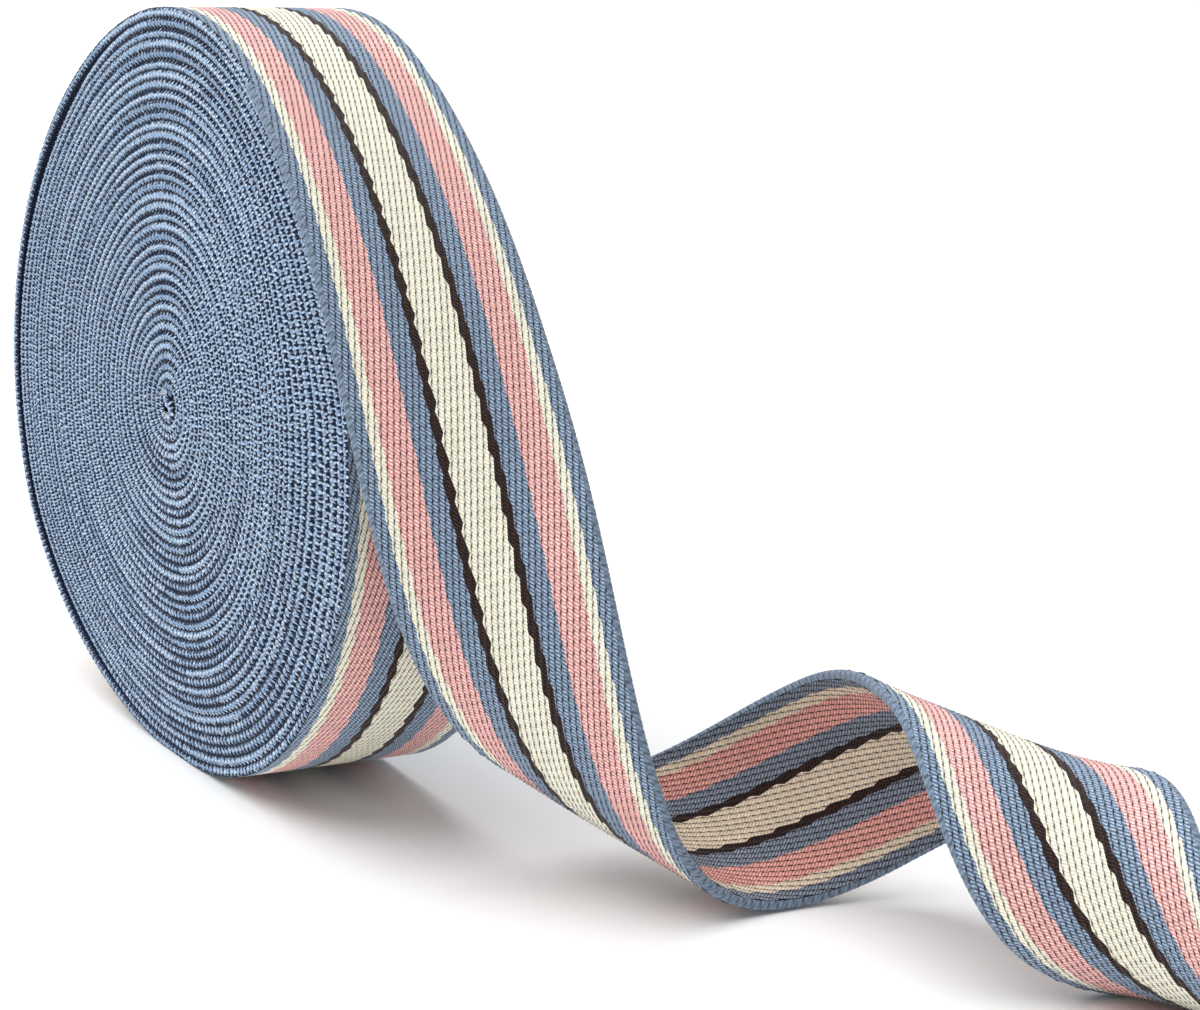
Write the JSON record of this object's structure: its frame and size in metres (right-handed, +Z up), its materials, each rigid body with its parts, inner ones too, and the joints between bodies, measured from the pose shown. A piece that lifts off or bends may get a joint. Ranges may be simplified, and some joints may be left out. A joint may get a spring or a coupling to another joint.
{
  "type": "roll of jacquard ribbon",
  "caption": "Roll of striped woven ribbon standing on its rim, with a loose end that lifts off and curls over sideways onto the surface.",
  "frame": {"origin": "centre of the small flat spot under the roll, on the surface that it stands on", "axes": "+Z up, +Y along the roll's axis, +X towards the side where the loose end leaves the roll and runs along the surface"},
  "size_m": [0.2961, 0.1455, 0.1455],
  "materials": {
    "wound_edges": "matte woven selvedge",
    "woven_tape": "matte twill weave in blue, cream, pink and brown stripes"
  },
  "bodies": {
    "root": {"roll": "wound_edges", "loose_end": "woven_tape"}
  },
  "joints": []
}
